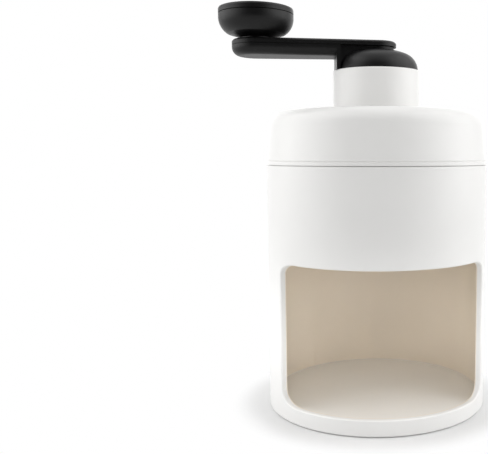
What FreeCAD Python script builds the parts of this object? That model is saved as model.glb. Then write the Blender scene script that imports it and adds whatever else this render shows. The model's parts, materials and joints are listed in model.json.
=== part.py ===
"""Hand cranked ice shaver: millimetres, +Z up, origin at the centre of the base's underside.

The serving bay's window faces -Y and the crank rests along -X.  A spring inside the crank's drive
sleeve pushes a spiked plate down on the ice; the crank turns the plate, and the ice slides over a
blade in the deck below it.  Every function builds one separate piece, or one set of like pieces.
"""
import FreeCAD, Part
import os
from math import atan, cos, hypot, radians, sin, sqrt

V = FreeCAD.Vector
UP = V(0, 0, 1)

# Driving dimensions --------------------------------------------------------------------------

BODY_R = 57.5             # outside of the housing
WALL = 3.0
BORE_R = BODY_R - WALL    # inside of the housing
EDGE = 0.4                # broken edges of the mouldings
FIT = 0.1                 # play between pieces that stay together
RUN = 0.06                # radial play of a shaft that turns or slides

PAD_T = 1.6               # silicone pad that the shaver stands on
FOOT_Z = 0.3              # lower edge of the wall round the pad
FLOOR_Z = 5.2             # floor of the serving bay
FLOOR_T = 2.4
WINDOW_HALF = 62.4        # degrees either side of the front
WINDOW_Z = (8.4, 78.9)
WINDOW_TOP = (11.5, 5.8)  # width and height of the window's upper corners
WINDOW_BOTTOM = (12.0, 7.0)
WINDOW_LIP = 0.5          # bevel of the window's outer edge

DECK_Z = 82.0             # underside of the blade deck
DECK_T = 2.6
DECK_TOP = DECK_Z + DECK_T
LEDGE_T = 2.4             # ring inside the housing that carries the deck
LEDGE_R = 46.5
RIM_Z = 126.9             # top of the housing
SEAM = (1.2, 0.4)         # depth and height of the shadow gap under the chamber's flange
FLANGE_T = 1.9            # visible flange of the ice chamber
FLANGE_Z = RIM_Z + FLANGE_T

CHAMBER_R = 47.0          # inside of the ice chamber, for a 90 mm puck
CHAMBER_WALL = 2.2
COLLAR_R = 51.6           # inside of the wider collar that takes the lid
COLLAR_Z = 118.5
SCREW_RING_R = 51.6       # circle of the three chamber screws
SCREW_FIRST = 90          # degrees to the first of them
BOSS_TOP = DECK_TOP + 16  # bosses that they bite into

BLADE_X = (4.0, 46.0)
BLADE_W = 14.0
BLADE_T = 1.0
BLADE_TILT = 24.0
BLADE_EDGE = (-0.8, DECK_TOP + 0.4)   # y and height of the cutting edge
MOUTH_Y = (-0.9, 3.6)
BED_X = (1.0, 45.5)       # sloping bed under the deck; it also keys the deck in the ledge
BED_Y = (-17.0, 5.5)
BED_PLAY = 0.5
CLAMP_V = (4.5, 14.5)     # the clamp's reach down the blade, from its edge
CLAMP_T = 2.6
BLADE_SCREW_X = (15.0, 35.0)
BLADE_SCREW_V = 9.5

LUGS = 4                  # bayonet lugs of the lid
LUG_ARC = 22.0
LUG_Z = (120.4, 123.8)
TRACK_ARC = 60.0          # ledges of the chamber that the lugs turn under
TRACK_Z = (124.2, 126.6)
TRACK_R = 49.4
TWIST = 30.0              # degrees from open to locked

LID_SIDE = (56.1, 146.8)  # radius and height where the lid's side meets its shoulder
LID_SHOULDER_R = 8.1
LID_CROWN_Z = 155.0       # where the crown meets the neck
LID_WALL = 2.5
SKIRT_R = 49.1            # outside of the skirt that drops into the collar
SKIRT_WALL = 1.9
SKIRT_Z = 118.5
SEAL_R = (52.6, 55.2)
SEAL_T = 1.4

NECK_R = 22.8
NECK_TOP = 175.2
NECK_WALL = 2.4

SLEEVE_R = 9.0            # drive sleeve that the crank turns
SLEEVE_BORE = 6.05
SLEEVE_Z = (136.5, 178.2)
BORE_TOP = 176.4
COLLAR_SLEEVE_R = 13.8
COLLAR_SLEEVE_Z = (156.8, 159.25)
BUSH_R = 12.1
BUSH_Z = (160.0, 174.4)
BUSH_FLANGE_TOP = NECK_TOP + 0.05
DRIVE_SQUARE = 10.0
DRIVE_Z = (178.2, 181.4)
DRIVE_CORNER_R = 6.3      # circle that trims the square's corners
CRANK_THREAD_R = 2.05

ROD_R = 5.95              # feed rod that slides in the sleeve
ROD_Z = (98.5, 143.5)
ROD_FLAT = 4.6            # axis to each flat, where the rod enters the plate
TRAVEL = 32.0             # how far the spiked plate rises
PIN_R = 1.5
PIN_Z = 141.0
PLATE_R = 43.0
PLATE_Z = (99.0, 102.0)
PLATE_HUB_R = 9.0
PLATE_HUB_Z = (96.5, 104.2)
SPIKE_T = 1.0
SPIKE_DROP = 7.0
TEETH = ((5, 17.0, 12.0), (8, 31.0, 0.0))   # number, circle and first angle of each row
TOOTH_HALF = 4.0
SPIKE_SCREW_R = 24.0      # circle of the three screws that hold the spike disc
SPIKE_SCREW_FIRST = 60
SPRING_R = 11.5
WIRE = 1.4                # square section of the spring's wire
SPRING_TURNS = 7
SPRING_RUNS = 12          # straight runs in a turn
SPRING_PLAY = 0.15        # free space at each end of the spring

HUB_R = 21.5              # dome of the crank
HUB_Z = 175.4
HUB_RISE = 11.4
HUB_SHOULDER_R = 9.2
HUB_WALL = 4.1            # the dome's wall at its lower edge
HUB_BOSS_R = 11.5         # boss round the drive socket
HUB_CAVITY = 4.6          # depth of the space between wall and boss
BOLT_SEAT = 184.0         # seat of the crank's washer
BOLT_RECESS_R = 5.8
BOLT_POST_R = 9.0         # post round the recess, in the arm's tray
BOLT_HOLE_R = 2.3
CRANK_R = 61.8            # hub axis to knob axis
ARM_Z = 182.0
ARM_SPLIT = 187.2         # top of the arm's tray
COVER_Z = (187.4, 190.0)
ARM_KNOB_R = 12.4
ARM_HUB_R = 10.2
ARM_WAIST = 9.0           # half width of the arm where it enters the dome
ARM_STEP_X = -19.4        # where the full width arm ends
ARM_UNDER_R = 4.2
ARM_WALL = 2.0
ARM_FLOOR = 2.2
ARM_RIB_X = (-50, -41, -32, -23)
ARM_TRAY_END = -8.0       # x of the tray's end in the hub
PIVOT_R = 7.8             # raised seat of the knob, on the cover
PIVOT_POST_R = 6.2        # post round the knob's spindle, in the tray

KNOB_R = 18.95
KNOB_Z = (191.2, 202.65)
KNOB_CAP_Z = (203.0, 206.0)
KNOB_WALL = 2.3
KNOB_FLOOR_Z = 196.8      # seat of the washer, inside
BOWL_R = 9.2              # rounding of the bowl, upright at its top
BOWL_TOP = 9.8            # height of that top over the bowl's underside
BOWL_TURN = 58            # degrees that the rounding turns through
SPINDLE_R = 3.5
SPINDLE_HEAD = (6.2, 1.8)


# Shape helpers -------------------------------------------------------------------------------

def outline(start, *steps):
    """Closed wire in the XZ plane; a step is an end point, or a (through, end) pair for an arc."""
    edges = []
    here = V(start[0], 0, start[1])
    for step in steps + (start,):
        if isinstance(step[0], tuple):
            through = V(step[0][0], 0, step[0][1])
            end = V(step[1][0], 0, step[1][1])
            edges.append(Part.Arc(here, through, end).toShape())
        else:
            end = V(step[0], 0, step[1])
            if here.distanceToPoint(end) > 1e-6:
                edges.append(Part.makeLine(here, end))
        here = end
    return Part.Wire(edges)


def turned(start, *steps, angle=360.0, first=0.0):
    """Solid of revolution about Z, from an outline of (radius, height) points."""
    solid = Part.Face(outline(start, *steps)).revolve(V(0, 0, 0), UP, angle)
    return spun(solid, first) if first else solid


def ring(r_in, r_out, z0, z1, angle=360.0, first=0.0):
    return turned((r_in, z0), (r_out, z0), (r_out, z1), (r_in, z1), angle=angle, first=first)


def rod(radius, z0, z1, x=0.0, y=0.0):
    return Part.makeCylinder(radius, z1 - z0, V(x, y, z0))


def across(radius, reach, z):
    """Round bar along X."""
    return Part.makeCylinder(radius, 2 * reach, V(-reach, 0, z), V(1, 0, 0))


def block(x0, x1, y0, y1, z0, z1):
    return Part.makeBox(x1 - x0, y1 - y0, z1 - z0, V(x0, y0, z0))


def spun(shape, angle, centre=V(0, 0, 0), axis=UP):
    copy = shape.copy()
    copy.rotate(centre, axis, angle)
    return copy


def around(shape, count, first=0.0):
    return [spun(shape, first + 360.0 * i / count) for i in range(count)]


def joined(shapes):
    return shapes[0].multiFuse(shapes[1:]).removeSplitter()


def cut(shape, *tools):
    return shape.cut(Part.makeCompound(tools))


def rounded(solid, radius, wanted):
    """Fillet the edges for which wanted(edge) is true."""
    return solid.makeFillet(radius, [edge for edge in solid.Edges if wanted(edge)])


def bevelled(solid, width, wanted):
    """Chamfer the edges for which wanted(edge) is true."""
    return solid.makeChamfer(width, [edge for edge in solid.Edges if wanted(edge)])


def level(z, tolerance=1e-4):
    """Test for edges that lie flat at a height."""
    def test(edge):
        box = edge.BoundBox
        return abs(box.ZMin - z) < tolerance and abs(box.ZMax - z) < tolerance
    return test


def tapered_slot(x0, r0, x1, r1, z0, z1):
    """Plate with two round ends of different radii, joined by their common tangents."""
    run = x1 - x0
    slope = (r0 - r1) / run
    rise = sqrt(1 - slope * slope)

    def tangent(x, r, side):
        return V(x + r * slope, side * r * rise, z0)

    edges = [
        Part.makeLine(tangent(x0, r0, 1), tangent(x1, r1, 1)),
        Part.Arc(tangent(x1, r1, 1), V(x1 + r1, 0, z0), tangent(x1, r1, -1)).toShape(),
        Part.makeLine(tangent(x1, r1, -1), tangent(x0, r0, -1)),
        Part.Arc(tangent(x0, r0, -1), V(x0 - r0, 0, z0), tangent(x0, r0, 1)).toShape(),
    ]
    return Part.Face(Part.Wire(edges)).extrude(V(0, 0, z1 - z0))


def save(node, *solids):
    shape = solids[0] if len(solids) == 1 else Part.makeCompound(solids)
    shape.exportStep(f"parts/{node}.step")


# Housing and base ----------------------------------------------------------------------------

def window_corner(width, height):
    """What an elliptical corner leaves of a rectangle, along +X, with the corner at the origin."""
    near, far = BORE_R - 8, BODY_R + 8
    centre = V(near, width, -height)
    ellipse = Part.Ellipse(V(near, 0, -height), V(near, width, 0), centre)
    bar = Part.Face(Part.Wire([ellipse.toShape()])).extrude(V(far - near, 0, 0))
    return block(near, far, -1, width, -height, 1).cut(bar)


def window_cutter():
    """Sector of a ring whose four corners are rounded about radial axes."""
    low, high = WINDOW_Z
    sector = ring(BORE_R - 6, BODY_R + 6, low, high, 2 * WINDOW_HALF, -90 - WINDOW_HALF)
    upper = window_corner(*WINDOW_TOP)
    upper.translate(V(0, 0, high))
    lower = window_corner(*WINDOW_BOTTOM).mirror(V(0, 0, 0), UP)
    lower.translate(V(0, 0, low))
    left = [spun(corner, -90 - WINDOW_HALF) for corner in (upper, lower)]
    right = [corner.mirror(V(0, 0, 0), V(1, 0, 0)) for corner in left]
    return cut(sector, *left, *right)


def outer_housing():
    """Cup with a ledge for the blade deck, ribs under its floor and the window of the bay."""
    floor_under = FLOOR_Z - FLOOR_T
    pad_r = BORE_R - 0.6
    foot = 0.6
    ledge_z = DECK_Z - LEDGE_T
    gusset = 2.0
    seam_depth, seam_height = SEAM
    cup = turned(
        (0, floor_under),
        (pad_r, floor_under),
        (pad_r, FOOT_Z),
        (BODY_R - foot, FOOT_Z),
        (BODY_R, FOOT_Z + foot),
        (BODY_R, RIM_Z - seam_height),
        (BODY_R - seam_depth, RIM_Z - seam_height),
        (BODY_R - seam_depth, RIM_Z),
        (BORE_R, RIM_Z),
        (BORE_R, DECK_Z),
        (LEDGE_R, DECK_Z),
        (LEDGE_R, ledge_z),
        (BORE_R - gusset, ledge_z),
        (BORE_R, ledge_z - gusset),
        (BORE_R, FLOOR_Z),
        (0, FLOOR_Z),
    )
    half = 0.8
    hub_r = 12.0
    sunk = 0.3
    ribs = around(block(hub_r - 1, pad_r + sunk, -half, half, PAD_T, floor_under + sunk), 6)
    ribs.append(ring(hub_r - 2, hub_r, PAD_T, floor_under + sunk))
    cup = joined([cup] + ribs)
    screw_hole = rod(1.5, ledge_z - 1, DECK_Z + 1, SCREW_RING_R)
    head_clear = rod(2.9, ledge_z - 6, ledge_z, SCREW_RING_R)
    holes = around(screw_hole, 3, SCREW_FIRST) + around(head_clear, 3, SCREW_FIRST)
    bed_notch = block(LEDGE_R - 10, BED_X[1] + BED_PLAY, BED_Y[0] - BED_PLAY, BED_Y[1] + BED_PLAY,
                      ledge_z - 1, DECK_Z + 1)
    cup = cut(cup, bed_notch, *holes)
    cup = cut(cup, window_cutter())

    def window_lip(edge):
        box = edge.BoundBox
        low, high = WINDOW_Z
        inside = box.ZMin > low - 0.01 and box.ZMax < high + 0.01 and box.YMin < -15
        middle = edge.valueAt((edge.FirstParameter + edge.LastParameter) / 2)
        return inside and abs(hypot(middle.x, middle.y) - BODY_R) < 0.01

    return bevelled(cup, WINDOW_LIP, window_lip)


def base_pad():
    """Silicone disc that fills the recess of the underside."""
    r = BORE_R - 0.9
    return turned((0, 0), (r - EDGE, 0), (r, EDGE), (r, PAD_T), (0, PAD_T))


# Ice chamber and blade -----------------------------------------------------------------------

def ice_chamber():
    """Sleeve that holds the ice, with the flange and the bayonet tracks for the lid."""
    outer = CHAMBER_R + CHAMBER_WALL
    collar_out = BORE_R - 0.3
    sunk = 0.4
    sleeve = turned(
        (CHAMBER_R, DECK_TOP),
        (outer, DECK_TOP),
        (outer, COLLAR_Z - 6),
        (collar_out, COLLAR_Z - 0.5),
        (collar_out, RIM_Z),
        (BODY_R, RIM_Z),
        (BODY_R, FLANGE_Z - EDGE),
        (BODY_R - EDGE, FLANGE_Z),
        (COLLAR_R, FLANGE_Z),
        (COLLAR_R, COLLAR_Z),
        (CHAMBER_R, COLLAR_Z - 5),
    )
    pieces = [sleeve]
    gap = 360.0 / LUGS - TRACK_ARC
    track = ring(TRACK_R, COLLAR_R + sunk, *TRACK_Z, angle=TRACK_ARC, first=gap / 2)
    pieces += around(track, LUGS)
    stop_arc = 3.0
    stop_first = -TWIST - LUG_ARC / 2 - stop_arc - 1
    stop = ring(TRACK_R, COLLAR_R + sunk, COLLAR_Z + 1, TRACK_Z[0] + sunk / 2, stop_arc, stop_first)
    pieces += around(stop, LUGS)
    boss = rod(2.6, DECK_TOP, BOSS_TOP, SCREW_RING_R)
    web = block(outer - 1, SCREW_RING_R, -1.2, 1.2, DECK_TOP, BOSS_TOP + 2.5)
    pieces += around(boss, 3, SCREW_FIRST) + around(web, 3, SCREW_FIRST)
    pilot = rod(1.3, DECK_TOP - 1, BOSS_TOP - 3, SCREW_RING_R)
    return cut(joined(pieces), *around(pilot, 3, SCREW_FIRST))


def on_blade(shape):
    """Place a shape drawn with +Y running down the blade and Z = 0 on its upper face."""
    placed = shape.copy()
    placed.rotate(V(0, 0, 0), UP, 180)
    placed.rotate(V(0, 0, 0), V(1, 0, 0), BLADE_TILT)
    placed.translate(V(BLADE_X[0] + BLADE_X[1], BLADE_EDGE[0], BLADE_EDGE[1]))
    return placed


def blade_deck():
    """Floor under the ice with the mouth for the shavings and the sloping bed of the blade."""
    deck = rod(BORE_R - 0.3, DECK_Z, DECK_TOP)
    bed_low, bed_high = DECK_Z - 6, DECK_Z + 0.5
    bed = block(*BED_X, *BED_Y, bed_low, bed_high)
    bed = rounded(bed, 2.0, lambda edge: edge.BoundBox.ZLength > bed_high - bed_low - FIT)
    deck = joined([deck, bed])
    width = (BLADE_X[0] - FIT, BLADE_X[1] + FIT)
    under = on_blade(block(*width, -4, 24, -14, 0))
    mouth = block(*width, *MOUTH_Y, DECK_Z - 8, DECK_TOP + 2)
    screws = around(rod(1.5, DECK_Z - 1, DECK_TOP + 1, SCREW_RING_R), 3, SCREW_FIRST)
    pilots = [on_blade(rod(1.3, -0.5, 2.4, x, BLADE_SCREW_V)) for x in BLADE_SCREW_X]
    return cut(deck, under, mouth, *screws, *pilots)


def shave_blade():
    """Flat steel blade, ground to an edge on its underside."""
    grind = 22
    blank = block(*BLADE_X, 0, BLADE_W, -BLADE_T, 0)
    bevel = block(BLADE_X[0] - 1, BLADE_X[1] + 1, -4, 0, -BLADE_T - 4, 0)
    bevel.rotate(V(0, 0, 0), V(1, 0, 0), grind - 90)
    holes = [rod(1.6, -2, 1, x, BLADE_SCREW_V) for x in BLADE_SCREW_X]
    return on_blade(cut(blank, bevel, *holes))


def blade_clamp():
    """Bar that holds the blade against its bed."""
    low = -BLADE_T - CLAMP_T
    bar = block(BLADE_X[0] + 0.5, BLADE_X[1] - 0.5, *CLAMP_V, low, -BLADE_T)
    bar = bevelled(bar, 0.8, level(low))
    return on_blade(cut(bar, *[rod(1.6, low - 1, 0, x, BLADE_SCREW_V) for x in BLADE_SCREW_X]))


def screw(shank_r, head_r, head_h, tip, seat, x=0.0, y=0.0):
    """Screw whose head stands on a seat height and whose plain shank ends at its tip."""
    top = seat + (-head_h if tip > seat else head_h)
    fastener = turned((0, tip), (shank_r, tip), (shank_r, seat), (head_r, seat), (head_r, top),
                      (0, top))
    fastener.translate(V(x, y, 0))
    return fastener


def blade_screws():
    seat = -BLADE_T - CLAMP_T
    return [on_blade(screw(1.25, 2.6, 1.3, 2.2, seat, x, BLADE_SCREW_V))
            for x in BLADE_SCREW_X]


def chamber_screws():
    fastener = screw(1.25, 2.6, 1.8, BOSS_TOP - 4, DECK_Z - LEDGE_T, SCREW_RING_R)
    return around(fastener, 3, SCREW_FIRST)


# Lid -----------------------------------------------------------------------------------------

def lid_seal():
    """Silicone ring that lies on the chamber's flange."""
    return ring(*SEAL_R, FLANGE_Z, FLANGE_Z + SEAL_T)


def lid_shoulder(offset):
    """Ends and middle of the shoulder's arc, moved inward by an offset."""
    lean = atan((BODY_R - LID_SIDE[0]) / (LID_SIDE[1] - FLANGE_Z))
    radius = LID_SHOULDER_R - offset
    cx = LID_SIDE[0] - LID_SHOULDER_R * cos(lean)
    cz = LID_SIDE[1] - LID_SHOULDER_R * sin(lean)
    half = (lean + radians(89)) / 2
    angles = (lean, half, radians(89))
    return [(cx + radius * cos(a), cz + radius * sin(a)) for a in angles]


def top_lid():
    """Domed lid with its neck, bayonet lugs, ribs and the tube that holds the bush."""
    side, bulge, crown = lid_shoulder(0)
    in_side, in_bulge, in_crown = lid_shoulder(LID_WALL)
    root = 1.0
    neck_in = NECK_R - NECK_WALL
    bore = BUSH_R + FIT
    tube_out = bore + 2.2
    tube_z = BUSH_Z[0] + 0.6
    plate_under = BUSH_Z[1] - 2.8
    rim_in = FLANGE_Z + 2.9
    groove_in, groove_out = SEAL_R[0] - FIT, SEAL_R[1] + FIT
    groove_top = FLANGE_Z + SEAL_T + FIT
    shell = turned(
        (SKIRT_R - SKIRT_WALL, SKIRT_Z),
        (SKIRT_R, SKIRT_Z),
        (SKIRT_R, FLANGE_Z),
        (groove_in, FLANGE_Z),
        (groove_in, groove_top),
        (groove_out, groove_top),
        (groove_out, FLANGE_Z),
        (BODY_R - EDGE, FLANGE_Z),
        (BODY_R, FLANGE_Z + EDGE),
        side,
        (bulge, crown),
        (NECK_R + root, LID_CROWN_Z),
        (NECK_R, LID_CROWN_Z + root),
        (NECK_R, NECK_TOP - EDGE),
        (NECK_R - EDGE, NECK_TOP),
        (neck_in, NECK_TOP),
        (neck_in, BUSH_Z[1]),
        (bore, BUSH_Z[1]),
        (bore, tube_z),
        (tube_out, tube_z),
        (tube_out, plate_under),
        (neck_in, plate_under),
        (neck_in, LID_CROWN_Z - LID_WALL),
        in_crown,
        in_bulge,
        in_side,
        (BODY_R - LID_WALL - 0.2, rim_in),
        (SKIRT_R - SKIRT_WALL, rim_in),
    )
    lug = ring(SKIRT_R - 0.6, COLLAR_R - 0.4, *LUG_Z, angle=LUG_ARC, first=-LUG_ARC / 2)
    under = LID_CROWN_Z - LID_WALL
    rib = block(neck_in + 1, in_crown[0] - 1, -0.8, 0.8, under - 5, under + 1)
    return joined([shell] + around(lug, LUGS) + around(rib, 6, 30))


def neck_bush():
    """Flanged bush that the drive sleeve turns in."""
    bore = SLEEVE_R + RUN
    flange_r = NECK_R - NECK_WALL - 0.3
    low, high = BUSH_Z
    return turned((bore, low), (BUSH_R, low), (BUSH_R, high), (flange_r, high),
                  (flange_r, BUSH_FLANGE_TOP), (bore, BUSH_FLANGE_TOP))


# Drive ---------------------------------------------------------------------------------------

def thrust_washer():
    top = BUSH_Z[0] - 0.05
    return ring(SLEEVE_R + 0.2, COLLAR_SLEEVE_R - 0.2, COLLAR_SLEEVE_Z[1], top)


def drive_sleeve():
    """Tube with a square head for the crank, a collar, and two long slots for the drive pin."""
    low, high = SLEEVE_Z
    tube = turned(
        (0, low), (SLEEVE_R, low), (SLEEVE_R, COLLAR_SLEEVE_Z[0]),
        (COLLAR_SLEEVE_R, COLLAR_SLEEVE_Z[0]), (COLLAR_SLEEVE_R, COLLAR_SLEEVE_Z[1]),
        (SLEEVE_R, COLLAR_SLEEVE_Z[1]), (SLEEVE_R, high), (0, high))
    half = DRIVE_SQUARE / 2
    square = block(-half, half, -half, half, high - 0.5, DRIVE_Z[1])
    square = square.common(rod(DRIVE_CORNER_R, high - 1, DRIVE_Z[1] + 1))
    bore = rod(SLEEVE_BORE, low - 1, BORE_TOP)
    thread = rod(CRANK_THREAD_R, BORE_TOP - 1, DRIVE_Z[1] + 1)
    slot_r = PIN_R + 0.05
    slot_low = PIN_Z - 0.05
    slot_high = PIN_Z + TRAVEL + 0.2
    reach = SLEEVE_R + 0.02
    slot = block(-reach, reach, -slot_r, slot_r, slot_low, slot_high)
    ends = [across(slot_r, reach, z) for z in (slot_low, slot_high)]
    return cut(joined([tube, square]), bore, thread, slot, *ends)


def feed_rod():
    """Round rod that slides in the sleeve, with flats where it enters the plate."""
    low, high = ROD_Z
    beyond = ROD_R + 1
    flat = block(ROD_FLAT, beyond, -beyond, beyond, low - 1, PLATE_HUB_Z[1])
    pin_hole = across(PIN_R + 0.02, beyond, PIN_Z)
    thread = rod(1.7, low - 1, low + 9)
    return cut(rod(ROD_R, low, high), flat, spun(flat, 180), pin_hole, thread)


def drive_pin():
    """Steel cross pin: it turns the rod with the sleeve and stops it at both ends of the slots."""
    return across(PIN_R, SLEEVE_R - 0.4, PIN_Z)


def feed_spring():
    """Compression spring: square wire in straight runs round a helix, flat in its end half turns."""
    low = PLATE_Z[1] + WIRE / 2 + SPRING_PLAY
    high = COLLAR_SLEEVE_Z[0] - WIRE / 2 - SPRING_PLAY

    def corner(i, outward, upward):
        turn = i / SPRING_RUNS
        share = min(max((turn - 0.5) / (SPRING_TURNS - 1), 0), 1)
        radius = SPRING_R + outward * WIRE / 2
        angle = radians(360 * turn)
        z = low + share * (high - low) + upward * WIRE / 2
        return V(radius * cos(angle), radius * sin(angle), z)

    def face(*corners):
        return Part.Face(Part.makePolygon([*corners, corners[0]]))

    ring_of = ((-1, -1), (1, -1), (1, 1), (-1, 1))
    last = SPRING_TURNS * SPRING_RUNS
    faces = [face(*[corner(i, *at) for at in ring_of]) for i in (0, last)]
    for i in range(last):
        for at, beside in zip(ring_of, ring_of[1:] + ring_of[:1]):
            a, b = corner(i, *at), corner(i, *beside)
            c, d = corner(i + 1, *beside), corner(i + 1, *at)
            faces += [face(a, b, c), face(a, c, d)]
    shell = Part.makeShell(faces)
    shell.sewShape()
    spring = Part.makeSolid(shell).removeSplitter()
    return spring if spring.Volume > 0 else spring.reversed()


def press_plate():
    """Round plate with a hub for the rod, and a rim and ribs on its upper face."""
    low, high = PLATE_Z
    hub_low, hub_high = PLATE_HUB_Z
    rim_in, rim_top = PLATE_R - 1.8, high + 2.0
    plate = turned(
        (0, hub_low), (PLATE_HUB_R, hub_low), (PLATE_HUB_R, low), (PLATE_R, low),
        (PLATE_R, rim_top), (rim_in, rim_top), (rim_in, high), (PLATE_HUB_R, high),
        (PLATE_HUB_R, hub_high), (0, hub_high))
    rib_in = SPRING_R + WIRE + 1.0
    rib = block(rib_in, rim_in + 1, -0.8, 0.8, high - 0.3, rim_top + 1.2)
    plate = joined([plate] + around(rib, 6, 30))
    flat = ROD_FLAT + 0.05
    socket = rod(ROD_R + 0.05, ROD_Z[0], hub_high + 1)
    socket = socket.common(block(-flat, flat, -9, 9, ROD_Z[0] - 1, hub_high + 2))
    screws = around(rod(1.1, low - 1, high + 1, SPIKE_SCREW_R), 3, SPIKE_SCREW_FIRST)
    return cut(plate, socket, rod(2.1, hub_low - 1, ROD_Z[0] + 1), *screws)


def spike_disc():
    """Sheet steel disc with triangular teeth bent down, each beside the window it came from."""
    top = PLATE_Z[0]
    under = top - SPIKE_T
    disc = ring(PLATE_HUB_R + 0.2, 39.0, under, top)
    teeth = []
    windows = []
    for count, radius, first in TEETH:
        near, far = radius - TOOTH_HALF, radius + TOOTH_HALF
        bent = [V(near, 0, under + 0.3), V(far, 0, under + 0.3), V(radius, 0, under - SPIKE_DROP)]
        flat = [V(near, SPIKE_T, under), V(far, SPIKE_T, under),
                V(radius, SPIKE_T + SPIKE_DROP, under)]
        tooth = Part.Face(Part.makePolygon(bent + bent[:1])).extrude(V(0, SPIKE_T, 0))
        window = Part.Face(Part.makePolygon(flat + flat[:1])).extrude(V(0, 0, SPIKE_T))
        teeth += around(tooth, count, first)
        windows += around(window, count, first)
    screws = around(rod(1.3, under - 1, top + 1, SPIKE_SCREW_R), 3, SPIKE_SCREW_FIRST)
    return cut(joined([disc] + teeth), *windows, *screws)


def spike_screws():
    seat = PLATE_Z[0] - SPIKE_T
    fastener = screw(1.05, 2.2, 1.2, PLATE_Z[1] - 0.4, seat, SPIKE_SCREW_R)
    return around(fastener, 3, SPIKE_SCREW_FIRST)


def plate_screw():
    return screw(1.65, 4.2, 2.2, ROD_Z[0] + 8, PLATE_HUB_Z[0])


# Crank and knob ------------------------------------------------------------------------------

def on_knob(shape):
    """Move a shape from the crank's axis to the knob's."""
    shape.translate(V(-CRANK_R, 0, 0))
    return shape


def hub_dome():
    """Dome of two tangent arcs: a shoulder that starts upright and a flatter crown."""
    cx = HUB_R - HUB_SHOULDER_R
    crown_r = (cx * cx + HUB_RISE ** 2 - HUB_SHOULDER_R ** 2) / (2 * (HUB_RISE - HUB_SHOULDER_R))
    centre = HUB_RISE - crown_r
    turn = atan(cx / -centre)
    meet = (crown_r * sin(turn), centre + crown_r * cos(turn))
    up = (radians(90) - turn) / 2
    through = (cx + HUB_SHOULDER_R * cos(up), HUB_SHOULDER_R * sin(up))
    crown = (crown_r * sin(turn / 2), centre + crown_r * cos(turn / 2))
    lift = [(r, HUB_Z + z) for r, z in (through, meet, crown, (0, HUB_RISE))]
    return turned((0, HUB_Z), (HUB_R, HUB_Z), (lift[0], lift[1]), (lift[2], lift[3]))


def crank_arm():
    """Arm and hub in one moulding: a tray with ribs, closed by a cover, that ends in the dome."""
    beam = tapered_slot(-CRANK_R, ARM_KNOB_R, 0, ARM_HUB_R, ARM_Z, ARM_SPLIT)
    beam = rounded(beam, ARM_UNDER_R, level(ARM_Z))
    beyond = block(ARM_STEP_X, 40, -40, 40, ARM_Z - 20, ARM_SPLIT + 20)
    beam = cut(beam, beyond)
    drop = tapered_slot(-CRANK_R, ARM_KNOB_R, 0, ARM_HUB_R, HUB_Z, ARM_SPLIT)
    drop = drop.common(block(-HUB_R, ARM_STEP_X, -40, 40, HUB_Z, ARM_SPLIT))
    waist = tapered_slot(ARM_STEP_X - 1, ARM_WAIST, 0, ARM_WAIST, HUB_Z, ARM_SPLIT)
    waist = cut(waist, block(-60, ARM_STEP_X - 0.5, -40, 40, HUB_Z - 1, ARM_SPLIT + 1))
    arm = joined([beam, drop, waist, hub_dome()])

    tray_z = ARM_Z + ARM_FLOOR
    tray = tapered_slot(-CRANK_R, ARM_KNOB_R - ARM_WALL, ARM_TRAY_END, ARM_WAIST - ARM_WALL,
                        tray_z, ARM_SPLIT + 1)
    half = 0.7
    rib_z = (tray_z - 1, ARM_SPLIT - 1.2)
    inner = [rod(PIVOT_POST_R, tray_z - 1, ARM_SPLIT + 2, -CRANK_R)]
    inner.append(rod(BOLT_POST_R, tray_z - 1, ARM_SPLIT + 2))
    inner += [block(x - half, x + half, -ARM_KNOB_R, ARM_KNOB_R, *rib_z) for x in ARM_RIB_X]
    inner.append(block(-CRANK_R, 0, -half, half, *rib_z))
    arm = cut(arm, cut(tray, *inner))

    cavity_top = HUB_Z + HUB_CAVITY
    spoke = block(-HUB_R, HUB_R, -half, half, HUB_Z - 2, cavity_top + 1)
    cavity = cut(ring(HUB_BOSS_R, HUB_R - HUB_WALL, HUB_Z - 1, cavity_top), spoke, spun(spoke, 90))
    side = DRIVE_SQUARE / 2 + 0.05
    socket = block(-side, side, -side, side, SLEEVE_Z[1] - 1, DRIVE_Z[1] + FIT)
    socket = socket.common(rod(DRIVE_CORNER_R + 0.05, SLEEVE_Z[1] - 2, DRIVE_Z[1] + 1))
    return cut(
        arm, cavity, socket,
        rod(SLEEVE_R + FIT, HUB_Z - 1, SLEEVE_Z[1] + 0.05),
        rod(BOLT_RECESS_R, BOLT_SEAT, ARM_SPLIT + 1),
        rod(BOLT_HOLE_R, SLEEVE_Z[1], ARM_SPLIT),
        rod(SPINDLE_R + 0.02, ARM_Z + 1.6, ARM_SPLIT + 2, -CRANK_R))


def crank_cover():
    """Lid of the arm, with a lip that fits the tray and a raised seat for the knob."""
    low, high = COVER_Z
    plate = tapered_slot(-CRANK_R, ARM_KNOB_R, 0, ARM_HUB_R, low, high)
    plate = bevelled(plate, 0.8, level(high))
    inset = ARM_WALL + FIT
    lip_t = 1.2
    lip = tapered_slot(-CRANK_R, ARM_KNOB_R - inset, ARM_TRAY_END, ARM_WAIST - inset,
                       low - 1.0, low + 0.3)
    hollow = tapered_slot(-CRANK_R, ARM_KNOB_R - inset - lip_t, ARM_TRAY_END,
                          ARM_WAIST - inset - lip_t, low - 2.0, low)
    lip = cut(lip, hollow, rod(BOLT_POST_R + 0.2, low - 2.0, low))
    seat = rod(PIVOT_R, high - 0.5, KNOB_Z[0] - 0.1, -CRANK_R)
    return cut(joined([plate, lip, seat]), rod(SPINDLE_R + 0.1, low - 2, high + 3, -CRANK_R))


def crank_washer():
    return ring(2.2, 5.3, BOLT_SEAT, BOLT_SEAT + 0.6)


def crank_screw():
    return screw(2.0, 4.4, 1.7, BORE_TOP + 0.2, BOLT_SEAT + 0.6)


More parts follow.
